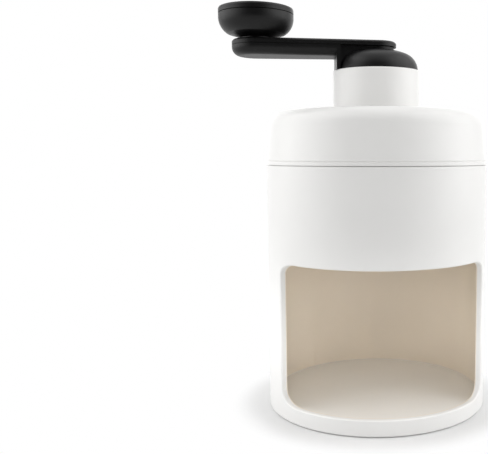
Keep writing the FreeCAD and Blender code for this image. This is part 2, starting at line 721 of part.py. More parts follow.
def knob_spindle():
    """Shoulder screw that the knob turns on."""
    head_r, head_h = SPINDLE_HEAD
    neck = KNOB_FLOOR_Z + 0.8
    top = neck + head_h
    spindle = turned((0, ARM_Z + 1.8), (SPINDLE_R, ARM_Z + 1.8), (SPINDLE_R, neck), (head_r, neck),
                     (head_r, top), (0, top))
    slot = block(-head_r - 1, head_r + 1, -0.6, 0.6, top - head_h / 2, top + 1)
    return on_knob(cut(spindle, slot))


def knob_washer():
    return on_knob(ring(SPINDLE_R + 0.15, SPINDLE_HEAD[0] + 0.2, KNOB_FLOOR_Z, KNOB_FLOOR_Z + 0.7))


def knob_body():
    """Round bowl with a hub and ribs inside, open at the top for its cap."""
    low, high = KNOB_Z
    bore = SPINDLE_R + RUN
    hub_r = 7.4
    cap_r = KNOB_R - KNOB_WALL
    base = V(KNOB_R - BOWL_R, 0, low + BOWL_TOP)

    def on_bowl(turn):
        return base.x + BOWL_R * cos(radians(turn)), base.z - BOWL_R * sin(radians(turn))

    foot = (cap_r - 3.8, low + 4.2)
    side = (cap_r, low + 9.0)
    bowl = turned(
        (bore, low), (8.0, low), on_bowl(BOWL_TURN), (on_bowl(BOWL_TURN / 2), on_bowl(0)),
        (KNOB_R, high), (cap_r, high), side, foot, (hub_r, low + 3.2), (hub_r, KNOB_FLOOR_Z),
        (bore, KNOB_FLOOR_Z))
    sunk = 0.3
    rib_top = side[1] - 0.8
    rib = Part.Face(outline((hub_r - sunk, low + 3.0), (foot[0], foot[1] - sunk),
                            (side[0] - sunk, rib_top), (hub_r - sunk, rib_top)))
    rib = rib.extrude(V(0, 1.4, 0))
    rib.translate(V(0, -0.7, 0))
    return on_knob(joined([bowl] + around(rib, 4, 45)))


def knob_cap():
    """Snap-in cap of the knob."""
    low, high = KNOB_CAP_Z
    corner = 1.1
    step = corner * 0.3
    spigot = KNOB_R - KNOB_WALL - FIT
    spigot_wall = 1.5
    cap = turned(
        (0, high - 1.8), (spigot - spigot_wall, high - 1.8), (spigot - spigot_wall, low - 2.0),
        (spigot, low - 2.0), (spigot, low), (KNOB_R, low), (KNOB_R, high - corner),
        (KNOB_R - step, high - step), (KNOB_R - corner, high), (0, high))
    return on_knob(cap)


def main():
    os.makedirs("parts", exist_ok=True)
    save("outer_housing", outer_housing())
    save("base_pad", base_pad())
    save("ice_chamber", ice_chamber())
    save("blade_deck", blade_deck())
    save("shave_blade", shave_blade())
    save("blade_clamp", blade_clamp())
    save("blade_screws", *blade_screws())
    save("chamber_screws", *chamber_screws())
    save("lid_seal", lid_seal())
    save("top_lid", top_lid())
    save("neck_bush", neck_bush())
    save("thrust_washer", thrust_washer())
    save("drive_sleeve", drive_sleeve())
    save("feed_rod", feed_rod())
    save("drive_pin", drive_pin())
    save("feed_spring", feed_spring())
    save("press_plate", press_plate())
    save("spike_disc", spike_disc())
    save("spike_screws", *spike_screws())
    save("plate_screw", plate_screw())
    save("crank_arm", crank_arm())
    save("crank_cover", crank_cover())
    save("crank_washer", crank_washer())
    save("crank_screw", crank_screw())
    save("knob_spindle", knob_spindle())
    save("knob_washer", knob_washer())
    save("knob_body", knob_body())
    save("knob_cap", knob_cap())


main()
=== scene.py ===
import json
from functools import cached_property
from math import radians

import bpy
import numpy as np
from bpy.props import FloatProperty, FloatVectorProperty, IntProperty, PointerProperty
from mathutils import Matrix, Vector


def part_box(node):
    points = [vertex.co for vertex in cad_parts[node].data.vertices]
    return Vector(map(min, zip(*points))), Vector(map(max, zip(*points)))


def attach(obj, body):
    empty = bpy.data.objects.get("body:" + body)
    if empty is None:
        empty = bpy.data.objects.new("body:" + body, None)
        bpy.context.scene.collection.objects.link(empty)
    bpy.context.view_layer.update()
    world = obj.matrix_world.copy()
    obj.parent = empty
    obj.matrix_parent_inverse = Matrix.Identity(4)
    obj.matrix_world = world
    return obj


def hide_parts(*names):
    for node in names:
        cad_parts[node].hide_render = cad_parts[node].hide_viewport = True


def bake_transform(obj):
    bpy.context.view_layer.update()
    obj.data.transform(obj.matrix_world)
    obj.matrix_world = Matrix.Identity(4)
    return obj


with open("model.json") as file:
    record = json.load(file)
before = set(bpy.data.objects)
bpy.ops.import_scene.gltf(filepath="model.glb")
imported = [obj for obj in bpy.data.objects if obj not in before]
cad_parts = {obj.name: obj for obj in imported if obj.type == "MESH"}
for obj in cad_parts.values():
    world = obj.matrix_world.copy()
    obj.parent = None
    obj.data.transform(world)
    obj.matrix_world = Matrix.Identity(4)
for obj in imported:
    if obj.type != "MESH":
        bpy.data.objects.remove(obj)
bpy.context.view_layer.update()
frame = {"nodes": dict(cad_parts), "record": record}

# Looks of a hand cranked ice shaver.  Every size is in metres.  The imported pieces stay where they
# are and get their finishes here.  The spring, the screws, the pad and the seal are drawn in full.

bl_info = {
    "name": "Ice shaver with crank",
    "version": (1, 0, 0),
    "blender": (4, 5, 0),
    "location": "3D View > Sidebar > Ice shaver",
    "description": "Finishes, spring, screws, seal, pad and studio of a hand cranked ice shaver",
    "category": "Object",
}

MM = 0.001
FULL_TURN = 2 * np.pi
BLACK = (0.0, 0.0, 0.0)
WHITE = (1.0, 1.0, 1.0)
RECORDED = {m["slot"]: tuple(m["base_color"]) for m in frame["record"]["materials"]}


# Sizes and colours --------------------------------------------------------------------------

def colour(name, description, default):
    """A colour that a user may change."""
    return FloatVectorProperty(name=name, description=description, default=default, size=3,
                               min=0.0, max=1.0, subtype="COLOR")


def length(name, description, default):
    """A length in metres that a user may change."""
    return FloatProperty(name=name, description=description, default=default, min=0.0,
                         precision=5, unit="LENGTH")


def power(name, description, default):
    """The power of a lamp, which a user may change."""
    return FloatProperty(name=name, description=description, default=default, min=0.0,
                         precision=4, unit="POWER")


class ShaverColours(bpy.types.PropertyGroup):
    shell: colour("Shell", "Housing, chamber flange and lid", RECORDED["white_shell"])
    # Painted shade: the bay colour is a warm tint for the shade inside the serving bay, whose
    # plastic is the shell's white.
    bay: colour("Bay", "Wall of the serving bay, inside the housing", (0.89, 0.80, 0.675))
    inner: colour("Inner plastic", "Blade deck, clamp and press plate", RECORDED["white_inner"])
    bearing: colour("Bearing plastic", "Bush, sleeve, rod and washers", RECORDED["bearing_plastic"])
    silicone: colour("Silicone", "Pad and lid seal", RECORDED["silicone"])
    steel: colour("Steel", "Blade, spikes, spring, screws and other metal", RECORDED["steel"])
    crank: colour("Crank", "Arm, cover and knob", (0.002, 0.002, 0.0021))


class ShaverSizes(bpy.types.PropertyGroup):
    wire: length("Spring wire", "Diameter of the spring's wire", 1.4 * MM)
    turns: IntProperty(name="Spring turns", default=7, min=3, max=20,
                       description="Turns of the spring, with its two closed ones")
    pitch: length("Thread pitch", "Climb of the screws' thread in one turn", 0.9 * MM)
    thread: length("Thread depth", "Depth of the screws' thread", 0.28 * MM)
    tread: length("Tread pitch", "From one rib of the pad to the next", 4.0 * MM)
    groove: length("Tread depth", "Depth of the grooves between the pad's ribs", 0.5 * MM)


class StudioSettings(bpy.types.PropertyGroup):
    side_light: power("Side panels", "Power of each panel beside the shaver", 6.0)
    back_light: power("Back panel", "Power of the panel behind the shaver", 1.5)
    top_light: power("Top light", "Power of the lamp over the shaver", 0.48)
    bay_light: power("Bay lights", "Power that each lamp of the serving bay has a share of", 0.0016)
    room: FloatProperty(name="Room", description="Strength of the light from all round",
                        default=0.4, min=0.0)


# Surfaces -----------------------------------------------------------------------------------

def around(count):
    """Angles of points spread evenly round a circle."""
    return np.linspace(0, FULL_TURN, count, endpoint=False)


def skin(rows, loop=False, first_closed=True):
    """Faces over a grid of points: point j of row i meets j + 1 and the same two of row i + 1.

    A row closes on itself.  With loop the last row also meets the first.  Without it the last row
    has a fan of faces to its middle point, and so has the first where it is closed.
    """
    count, across, _ = rows.shape
    i = np.arange(count if loop else count - 1)[:, None] * across
    j = np.arange(across)[None, :]
    above, beside = (i + across) % (count * across), (j + 1) % across
    corners = np.broadcast_arrays(i + j, i + beside, above + beside, above + j)
    faces = np.stack(corners, -1).reshape(-1, 4).tolist()
    points = rows.reshape(-1, 3)
    first = np.arange(across)
    last = first + (count - 1) * across
    if first_closed and not loop:
        faces += np.stack([np.full(across, len(points)), np.roll(first, -1), first], 1).tolist()
        points = np.vstack([points, rows[0].mean(0)])
    if not loop:
        faces += np.stack([np.full(across, len(points)), last, np.roll(last, -1)], 1).tolist()
        points = np.vstack([points, rows[-1].mean(0)])
    return points, faces


def moved(rows, place):
    """Rows of points after a turn and a shift."""
    turn = np.array(place.to_3x3())
    return rows @ turn.T + np.array(place.translation)


def lathe(radius, height, across):
    """Rows of a turned surface: a profile's point (r, z) is (r cos a, r sin a, z) at angle a.

    Radius and height are one value a row, or a row of values where they change with the angle.
    """
    radius, height = np.broadcast_arrays(radius, height)
    r = radius.reshape(len(radius), -1)
    z = height.reshape(len(height), -1)
    r, z, a = np.broadcast_arrays(r, z, around(across))
    return np.stack([r * np.cos(a), r * np.sin(a), z], -1)


def smooth_step(x, low, high):
    """0 up to low, 1 from high, and 3 t^2 - 2 t^3 between them, where t goes from 0 to 1."""
    t = np.clip((x - low) / (high - low), 0, 1)
    return t * t * (3 - 2 * t)


def make_piece(name, skins, material):
    """One mesh of several skins, smooth except where it folds by more than the crease angle."""
    crease = radians(35)
    points, faces, start = [], [], 0
    for skin_points, skin_faces in skins:
        points.append(skin_points)
        faces += [[corner + start for corner in face] for face in skin_faces]
        start += len(skin_points)
    mesh = bpy.data.meshes.new(name)
    mesh.from_pydata(np.vstack(points), [], faces)
    mesh.shade_smooth()
    mesh.set_sharp_from_angle(angle=crease)
    mesh.materials.append(material)
    piece = bpy.data.objects.new(name, mesh)
    bpy.context.scene.collection.objects.link(piece)
    return piece


# Finishes -----------------------------------------------------------------------------------

NOISE_SPAN = (0.3, 0.7)                # nearly all of a noise pattern lies between these values

# A Mix node's sockets repeat their names for each kind of value, so they are told by number.
SHARE = 0
NUMBER_A, NUMBER_B, NUMBER_OUT = 2, 3, 0
COLOUR_A, COLOUR_B, COLOUR_OUT = 6, 7, 2


def mixed(colour_a, share, colour_b):
    """A colour moved a share of the way to another."""
    return tuple(a + (b - a) * share for a, b in zip(colour_a, colour_b))


def opaque(shade):
    """A colour with its alpha, as a colour socket takes it."""
    return (*shade, 1.0)


class Nodes:
    """Short ways to add nodes to a material or a world."""

    def __init__(self, owner):
        owner.use_nodes = True
        self.tree = owner.node_tree

    @cached_property
    def place(self):
        """Object coordinates."""
        return self.tree.nodes.new("ShaderNodeTexCoord").outputs["Object"]

    @cached_property
    def parts(self):
        """X, Y and Z of the object coordinates."""
        return self.node("ShaderNodeSeparateXYZ", {"Vector": self.place}).outputs

    def node(self, kind, inputs=None, **settings):
        """A node with its settings, and a value or a link on each socket that is named."""
        made = self.tree.nodes.new(kind)
        for key, value in settings.items():
            setattr(made, key, value)
        for socket, value in (inputs or {}).items():
            if isinstance(value, bpy.types.NodeSocket):
                self.tree.links.new(value, made.inputs[socket])
            else:
                made.inputs[socket].default_value = value
        return made

    def shows(self, shader):
        """The surface has this shader in place of the one that it came with."""
        self.tree.nodes.remove(self.tree.nodes["Principled BSDF"])
        self.tree.links.new(shader, self.tree.nodes["Material Output"].inputs["Surface"])

    def stretched(self, scale):
        """Object coordinates scaled along each axis, for grain that runs one way."""
        mapping = {"Vector": self.place, "Scale": scale}
        return self.node("ShaderNodeMapping", mapping).outputs["Vector"]

    def noise(self, per_metre, detail=2.0, vector=None):
        """A cloudy pattern with so many patches in a metre."""
        inputs = {"Vector": vector or self.place, "Scale": per_metre, "Detail": detail}
        return self.node("ShaderNodeTexNoise", inputs).outputs["Fac"]

    def math(self, operation, a, b=0.0):
        """The result of a Math node."""
        return self.node("ShaderNodeMath", {0: a, 1: b}, operation=operation).outputs[0]

    def ranged(self, value, low, high, to_low=0.0, to_high=1.0):
        """A value from low to high, moved smoothly to another range."""
        inputs = {"Value": value, "From Min": low, "From Max": high, "To Min": to_low,
                  "To Max": to_high}
        return self.node("ShaderNodeMapRange", inputs, interpolation_type="SMOOTHSTEP").outputs[0]

    def blend(self, share, first, second):
        """A colour moved a share of the way to another, where the share is a pattern."""
        sides = [side if isinstance(side, bpy.types.NodeSocket) else opaque(side)
                 for side in (first, second)]
        inputs = {SHARE: share, COLOUR_A: sides[0], COLOUR_B: sides[1]}
        return self.node("ShaderNodeMix", inputs, data_type="RGBA").outputs[COLOUR_OUT]

    def radius(self, centre=(0, 0)):
        """Distance from an upright axis."""
        x = self.math("SUBTRACT", self.parts["X"], centre[0])
        y = self.math("SUBTRACT", self.parts["Y"], centre[1])
        return self.math("SQRT", self.math("ADD", self.math("MULTIPLY", x, x),
                                           self.math("MULTIPLY", y, y)))

    def seen(self):
        """1 where the eye looks straight at the surface, in a reflection or through glass, or 0."""
        path = self.node("ShaderNodeLightPath").outputs
        mirrored = self.math("MAXIMUM", path["Is Glossy Ray"], path["Is Transmission Ray"])
        return self.math("MAXIMUM", path["Is Camera Ray"], mirrored)


class Finish(Nodes):
    """A material with one Principled shader."""

    def __init__(self, name, roughness, ior=1.46, metallic=0.0, **settings):
        self.material = bpy.data.materials.new(name)
        super().__init__(self.material)
        self.shader = self.tree.nodes["Principled BSDF"]
        self.roughness = roughness
        values = {"Roughness": roughness, "IOR": ior, "Metallic": metallic, **settings}
        for socket, value in values.items():
            self.shader.inputs[socket].default_value = value

    def drives(self, socket, value):
        """A socket of the shader takes its value from a node."""
        self.tree.links.new(value, self.shader.inputs[socket])

    def tinted(self, pattern, first, second, span=NOISE_SPAN):
        """Base colour that a pattern moves from one colour to another over its span."""
        base = self.blend(self.ranged(pattern, *span), first, second)
        self.drives("Base Color", base)
        return base

    def worn(self, pattern, less, more):
        """Roughness that a pattern moves from less than the finish's own to more than it."""
        ends = self.roughness - less, self.roughness + more
        self.drives("Roughness", self.ranged(pattern, *NOISE_SPAN, *ends))

    def bumped(self, *layers):
        """Bump of several patterns, each with the height of its relief in metres."""
        normal = None
        for pattern, relief in layers:
            inputs = {"Height": pattern, "Distance": relief}
            if normal is not None:
                inputs["Normal"] = normal
            normal = self.node("ShaderNodeBump", inputs).outputs["Normal"]
        self.drives("Normal", normal)
        return self.material


# The bay's painted shade is a warm tint that stands in for the warm shade inside the serving bay.
# It fades out over these radii and heights, and its floor keeps a share of it.
BAY_SHADE_WALL = (54.6 * MM, 55.2 * MM)
BAY_SHADE_FLOOR = (5.25 * MM, 5.5 * MM)
BAY_SHADE_DECK = (80 * MM, 82 * MM)
BAY_SHADE_ON_FLOOR = 0.2


def moulded_shell(name, shell, bay=None):
    """Satin white moulding: a faint cloudiness, a fine orange peel and, inside the bay, a warm
    painted shade.
    """
    finish = Finish(name, roughness=0.34, ior=1.48)
    cloud = finish.noise(per_metre=28, detail=3)
    base = finish.tinted(cloud, mixed(shell, 0.025, BLACK), shell)
    # Painted shade: the bay's wall and floor take a warm tint for the shade inside the bay; the
    # plastic there is the same white as outside.
    if bay is not None:
        height = finish.parts["Z"]
        wall = finish.ranged(finish.radius(), *BAY_SHADE_WALL, 1, 0)
        above_floor = finish.ranged(height, *BAY_SHADE_FLOOR, BAY_SHADE_ON_FLOOR, 1)
        below_deck = finish.ranged(height, *BAY_SHADE_DECK, 1, 0)
        inside = finish.math("MULTIPLY", wall, finish.math("MULTIPLY", above_floor, below_deck))
        finish.drives("Base Color", finish.blend(inside, base, bay))
    finish.worn(finish.noise(per_metre=160, detail=4), less=0.04, more=0.04)
    peel, grain = finish.noise(per_metre=620), finish.noise(per_metre=3600)
    return finish.bumped((peel, 0.02 * MM), (grain, 0.006 * MM))


def plain_plastic(name, base, roughness, grain, relief, **settings):
    """Matt moulding with a fine even grain and slight cloudiness."""
    finish = Finish(name, roughness=roughness, **settings)
    finish.tinted(finish.noise(per_metre=45, detail=3), mixed(base, 0.05, BLACK), base)
    finish.worn(finish.noise(per_metre=240, detail=3), less=0.05, more=0.05)
    return finish.bumped((finish.noise(per_metre=grain, detail=3), relief))


def soft_silicone(name, base):
    """Translucent rubber: dull, a little dusty, and soft at its edges."""
    finish = Finish(name, roughness=0.55, ior=1.41, **{
        "Subsurface Weight": 0.35, "Subsurface Scale": 2.0 * MM, "Sheen Weight": 0.15})
    dust = finish.noise(per_metre=420, detail=5)
    finish.tinted(dust, base, mixed(base, 0.1, WHITE), span=(0.52, 0.7))
    finish.worn(finish.noise(per_metre=150, detail=3), less=0.07, more=0.09)
    return finish.bumped((finish.noise(per_metre=900, detail=3), 0.02 * MM))


def brushed_steel(name, base, lines_along, roughness):
    """Steel ground one way: fine lines along one axis in colour, gloss and relief."""
    along, across = 90.0, 4200.0       # patches of the pattern in a metre
    finish = Finish(name, roughness=roughness, metallic=1.0)
    scale = [along if axis == lines_along else across for axis in "XYZ"]
    lines = finish.noise(per_metre=1.0, detail=3, vector=finish.stretched(scale))
    finish.tinted(lines, mixed(base, 0.18, BLACK), base)
    finish.worn(finish.noise(per_metre=70, detail=3), less=0.06, more=0.1)
    return finish.bumped((lines, 0.006 * MM))


def turned_steel(name, base, centre=(0, 0)):
    """Steel turned on a lathe: fine rings round an upright axis."""
    ring = 0.12 * MM                   # from one tool mark to the next
    finish = Finish(name, roughness=0.24, metallic=1.0)
    phase = finish.math("MULTIPLY", finish.radius(centre), FULL_TURN / ring)
    wear = finish.noise(per_metre=300, detail=4)
    finish.tinted(wear, mixed(base, 0.2, BLACK), base, span=(0.35, 0.65))
    finish.worn(wear, less=0.04, more=0.12)
    return finish.bumped((finish.math("SINE", phase), 0.002 * MM), (wear, 0.004 * MM))


def satin_black(name, base, roughness=0.42):
    """Black moulding with a fine spark-eroded grain that catches the light at a low angle."""
    finish = Finish(name, roughness=roughness, ior=1.42, **{"Specular IOR Level": 0.36})
    finish.tinted(finish.noise(per_metre=60, detail=4), base, mixed(base, 0.002, WHITE))
    grain = finish.noise(per_metre=2400)
    finish.worn(grain, less=0.04, more=0.06)
    return finish.bumped((grain, 0.012 * MM), (finish.noise(per_metre=500), 0.01 * MM))


def dress(material, *nodes):
    """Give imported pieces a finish."""
    for name in nodes:
        frame["nodes"][name].data.materials.clear()
        frame["nodes"][name].data.materials.append(material)


# Pieces -------------------------------------------------------------------------------------

def spring_rows(wire, turns, low, high, radius):
    """Round wire along a helix: the centre turns at a fixed radius and climbs by about one wire
    in the first and the last turn and evenly between them.  Both ends are ground flat."""
    steps_per_turn, wire_sides = 48, 16
    opening = (0.75, 1.25)             # turns from an end over which the coils open
    closed = wire * 0.98               # climb of a closed turn
    ground = wire * 0.2                # what is ground off each end

    turn = np.linspace(0, turns, steps_per_turn * turns)
    active = smooth_step(turn, *opening) * smooth_step(turns - turn, *opening)
    span = high - low - wire
    climb = closed + active * (span - closed * turns) / np.trapz(active, turn)
    rise = np.cumsum((climb[1:] + climb[:-1]) / 2 * np.diff(turn))
    angle = FULL_TURN * turn
    outward = np.stack([np.cos(angle), np.sin(angle), np.zeros(len(turn))], -1)
    centre = outward * radius
    centre[:, 2] = low + wire / 2 + np.concatenate([[0], rise])
    along = np.stack([-radius * np.sin(angle), radius * np.cos(angle), climb / FULL_TURN], -1)
    along /= np.linalg.norm(along, axis=1, keepdims=True)
    upward = np.cross(along, outward)
    a = around(wire_sides)[None, :, None]
    rows = centre[:, None] + wire / 2 * (np.cos(a) * outward[:, None] + np.sin(a) * upward[:, None])
    rows[..., 2] = np.clip(rows[..., 2], low + ground, high - ground)
    return rows


def packed_points(node):
    """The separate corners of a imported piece."""
    mesh = frame["nodes"][node].data
    points = np.empty(3 * len(mesh.vertices))
    mesh.vertices.foreach_get("co", points)
    return np.unique(points.reshape(-1, 3).round(7), axis=0)       # to a ten-thousandth of a mm


def apart(points, axis):
    """Points split into screws: each holds those within a reach of its first, across the axis."""
    reach = 12 * MM
    axis = np.array(axis)
    screws = []
    while len(points):
        away = points - points[0]
        away = away - np.outer(away @ axis, axis)
        near = np.linalg.norm(away, axis=1) < reach
        screws.append(points[near])
        points = points[~near]
    return screws


def screw_measures(points, axis):
    """Place of a screw's seat, head up, and its shank, head, head height and reach.

    Along the axis a packed screw has corners at its tip, its seat and the top of its head; the
    head is the shorter of the two stretches.
    """
    level = 0.05 * MM                  # corners this near to a height are counted at it
    along = points @ np.array(axis)
    low, seat, high = np.unique(along.round(5))        # to a hundredth of a millimetre
    head_up = high - seat < seat - low
    tip, top = (low, high) if head_up else (high, low)

    def circle(height):
        ring = points[np.abs(along - height) < level]
        centre = (ring.min(0) + ring.max(0)) / 2
        return centre, np.linalg.norm(ring - centre, axis=1).max()

    centre, head = circle(top)
    shank = circle(tip)[1]
    towards = axis if head_up else -axis
    place = towards.to_track_quat("Z", "Y").to_matrix().to_4x4()
    place.translation = Vector(centre) - towards * float(abs(top - seat))
    return place, (shank, head, abs(top - seat), abs(seat - tip))


def screw_rows(shank, head, head_height, reach, pitch, depth):
    """Pan head screw, head up, seat at 0: a threaded shank down to -reach and a domed head.

    The thread's radius is the shank's less a depth times a triangle wave of z / pitch - a / 2 pi,
    and it narrows towards the tip.  The head is an ellipse over its edge, with a cross cut into
    it: the cut is deep where the smaller of |x| and |y| is under the slot's half width and the
    larger under its half length.
    """
    sides, rows_per_turn, dome_rows = 72, 8, 24
    plain_neck = 0.6 * MM              # shank without a thread, under the seat
    point_turns, point = 1.2, 0.45     # turns that narrow, and the tip's share of the shank
    edge, bevel = 0.985, 0.15 * MM     # the dome's share of the head, and the bevel at the seat
    side_low, side_high = 0.3, 0.45    # shares of the head's height between which its edge rounds
    slot_side = (0.16, 0.22)           # shares of the head's radius where a slot's side slopes
    slot_end = (0.5, 0.62)             # the same for its end
    slot_depth = 0.55                  # share of the head's height

    a = around(sides)[None, :]
    turns = (reach - plain_neck) / pitch
    z = np.linspace(-reach, -plain_neck, int(turns * rows_per_turn))[:, None]
    wave = np.abs(2 * ((z / pitch - a / FULL_TURN) % 1) - 1)
    fade = smooth_step(z, -reach, -reach + point_turns * pitch)
    thread = (shank - depth * wave) * (point + (1 - point) * fade)
    plain = np.array([[-plain_neck / 2, shank], [0, shank], [0, head - bevel], [bevel, head],
                      [head_height * side_low, head], [head_height * side_high, head * edge]])
    lift = np.linspace(0, 1, dome_rows + 2)[1:-1, None] * np.pi / 2
    r_dome = head * edge * np.cos(lift)
    z_dome = head_height * (side_high + (1 - side_high) * np.sin(lift))
    x, y = np.abs(r_dome * np.cos(a)), np.abs(r_dome * np.sin(a))
    narrow = 1 - smooth_step(np.minimum(x, y), *(share * head for share in slot_side))
    short = 1 - smooth_step(np.maximum(x, y), *(share * head for share in slot_end))
    z_dome = z_dome - slot_depth * head_height * narrow * short
    parts = ((thread, z), (plain[:, 1:], plain[:, :1]), (r_dome, z_dome))
    return np.vstack([lathe(radius, height, sides) for radius, height in parts])


def pad_rows(low, high, radius, tread, groove):
    """Disc whose underside is ribbed: grooves of a flattened cosine of r, crossed by twelve
    channels, from a plain middle to a plain rim."""
    rings, sides = 220, 180
    hole, edge = 0.5 * MM, 0.4 * MM    # where the middle is closed by a fan, and the rim's bevel
    flat = (-0.25, 0.25)               # values of the cosine between which a rib's side falls
    channels, channel_side = 12, (0.6 * MM, 1.0 * MM)
    plain_middle = (10 * MM, 11 * MM)
    plain_rim = (4 * MM, 3 * MM)       # in from the edge

    r = np.linspace(hole, radius - edge, rings)[:, None]
    a = around(sides)[None, :]
    rib = smooth_step(np.cos(FULL_TURN * r / tread), *flat)
    across = np.abs((a * channels / FULL_TURN) % 1 - 0.5) * FULL_TURN / channels * r
    channel = smooth_step(across, *channel_side)
    outside = smooth_step(r, *(radius - width for width in plain_rim))
    inside = smooth_step(r, *plain_middle) * (1 - outside)
    under = low + groove * inside * (1 - rib * channel)
    rim = np.array([[radius - edge, low], [radius, low + edge], [radius, high - edge / 2],
                    [radius - edge / 2, high], [hole, high]])
    return np.vstack([lathe(r, under, sides), lathe(rim[:, 0], rim[:, 1], sides)])


def seal_rows(low, high, inner, outer):
    """Ring with a soft section: a squared circle whose top has two lips and a valley.

    At angle s of the section the squared circle is the root of |cos s| and of |sin s| with their
    signs; the valley is a bell curve of the first, taken off the upper half.
    """
    section_points, sides = 40, 200
    valley_width, valley_depth = 0.35, 0.35            # shares of the half width and half height

    s = around(section_points)
    out = np.sqrt(np.abs(np.cos(s))) * np.sign(np.cos(s))
    up = np.sqrt(np.abs(np.sin(s))) * np.sign(np.sin(s))
    valley = valley_depth * np.exp(-(out / valley_width) ** 2) * (np.sin(s) > 0)
    r = (inner + outer) / 2 + (outer - inner) / 2 * out
    z = (low + high) / 2 + (high - low) / 2 * (up - valley)
    return lathe(r, z, sides)


# Operators ----------------------------------------------------------------------------------

class SHAVER_OT_white_shell(bpy.types.Operator):
    """Finish the housing, the ice chamber and the lid"""
    bl_idname = "shaver.white_shell"
    bl_label = "White shell"

    def execute(self, context):
        colours = context.scene.shaver_colours
        # The housing's bay takes the painted shade of the bay colour.
        dress(moulded_shell("housing_white", colours.shell, colours.bay), "outer_housing")
        dress(moulded_shell("lid_white", colours.shell), "ice_chamber", "top_lid")
        return {"FINISHED"}


class SHAVER_OT_inner_plastics(bpy.types.Operator):
    """Finish the deck, the clamp, the press plate and the bearings"""
    bl_idname = "shaver.inner_plastics"
    bl_label = "Inner plastics"

    def execute(self, context):
        colours = context.scene.shaver_colours
        inner = plain_plastic("inner_white", colours.inner, roughness=0.46, grain=900,
                              relief=0.012 * MM)
        dress(inner, "blade_deck", "blade_clamp", "press_plate")
        waxy = {"Subsurface Weight": 0.1, "Subsurface Scale": 1.0 * MM}
        bearing = plain_plastic("bearing_acetal", colours.bearing, roughness=0.38, grain=1400,
                                relief=0.005 * MM, **waxy)
        dress(bearing, "neck_bush", "thrust_washer", "drive_sleeve", "feed_rod", "knob_washer")
        return {"FINISHED"}


class SHAVER_OT_steel(bpy.types.Operator):
    """Finish the blade, the spikes, the pin, the washer and the knob's spindle"""
    bl_idname = "shaver.steel"
    bl_label = "Steel pieces"

    def execute(self, context):
        steel = context.scene.shaver_colours.steel
        knob_low, knob_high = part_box("knob_spindle")
        knob = ((knob_low.x + knob_high.x) / 2, (knob_low.y + knob_high.y) / 2)
        dress(brushed_steel("ground_blade", steel, "Y", roughness=0.2), "shave_blade")
        dress(brushed_steel("rolled_sheet", steel, "X", roughness=0.3), "spike_disc")
        dress(brushed_steel("drawn_pin", steel, "X", roughness=0.22), "drive_pin")
        dress(turned_steel("pressed_washer", steel), "crank_washer")
        dress(turned_steel("turned_spindle", steel, knob), "knob_spindle")
        return {"FINISHED"}


class SHAVER_OT_black_crank(bpy.types.Operator):
    """Finish the arm, its cover and the knob"""
    bl_idname = "shaver.black_crank"
    bl_label = "Black crank"

    def execute(self, context):
        base = context.scene.shaver_colours.crank
        dress(satin_black("crank_black", base), "crank_arm", "crank_cover")
        dress(satin_black("knob_black", base, roughness=0.4), "knob_body", "knob_cap")
        return {"FINISHED"}


class SHAVER_OT_feed_spring(bpy.types.Operator):
    """Draw the feed spring at the imported spring's length; the real one shortens as the spiked
    plate rises
    """
    bl_idname = "shaver.feed_spring"
    bl_label = "Feed spring"

    INSET = 0.2 * MM                   # of the wire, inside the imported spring
    DARKER = 0.25                      # share of black in the wire's steel

    def execute(self, context):
        sizes = context.scene.shaver_sizes
        low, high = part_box("feed_spring")
        radius = high.x - sizes.wire / 2 - self.INSET
        rows = spring_rows(sizes.wire, sizes.turns, low.z, high.z, radius)
        steel = mixed(context.scene.shaver_colours.steel, self.DARKER, BLACK)
        finish = brushed_steel("spring_wire", steel, "Z", roughness=0.3)
        spring = make_piece("feed_spring_wire", [skin(rows)], finish)
        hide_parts("feed_spring")
        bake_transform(spring)
        return {"FINISHED"}


class SHAVER_OT_screws(bpy.types.Operator):
    """Draw the screws with threads and cross recesses"""
    bl_idname = "shaver.screws"
    bl_label = "Screws"

    DARKER = 0.1                       # share of black in the screws' steel
    UPRIGHT = Vector((0, 0, 1))
    BLADE_TILT = radians(24)
    SETS = (                           # packed screws, the body that they ride on, their axis
        ("chamber_screws", "housing", UPRIGHT),
        ("blade_screws", "housing", Matrix.Rotation(BLADE_TILT, 3, "X") @ UPRIGHT),
        ("spike_screws", "press", UPRIGHT),
        ("plate_screw", "press", UPRIGHT),
        ("crank_screw", "crank", UPRIGHT),
    )

    def execute(self, context):
        steel = mixed(context.scene.shaver_colours.steel, self.DARKER, BLACK)
        material = brushed_steel("screw_steel", steel, "Z", roughness=0.3)
        sizes = context.scene.shaver_sizes
        for node, body, axis in self.SETS:
            skins = []
            for points in apart(packed_points(node), axis):
                place, measures = screw_measures(points, axis)
                rows = screw_rows(*measures, sizes.pitch, sizes.thread)
                skins.append(skin(moved(rows, place)))
            screws = make_piece(node + "_cut", skins, material)
            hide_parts(node)
            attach(screws, body)
        return {"FINISHED"}


class SHAVER_OT_silicone(bpy.types.Operator):
    """Draw the ribbed pad and the lid's seal"""
    bl_idname = "shaver.silicone"
    bl_label = "Pad and seal"

    def execute(self, context):
        sizes = context.scene.shaver_sizes
        finish = soft_silicone("soft_silicone", context.scene.shaver_colours.silicone)
        low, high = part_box("base_pad")
        rows = pad_rows(low.z, high.z, high.x, sizes.tread, sizes.groove)
        pad = make_piece("base_pad_ribbed", [skin(rows)], finish)
        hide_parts("base_pad")
        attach(pad, "housing")
        low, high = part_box("lid_seal")
        inner = np.linalg.norm(packed_points("lid_seal")[:, :2], axis=1).min()
        rows = seal_rows(low.z, high.z, inner, high.x)
        seal = make_piece("lid_seal_lipped", [skin(rows, loop=True)], finish)
        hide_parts("lid_seal")
        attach(seal, "seal")
        return {"FINISHED"}


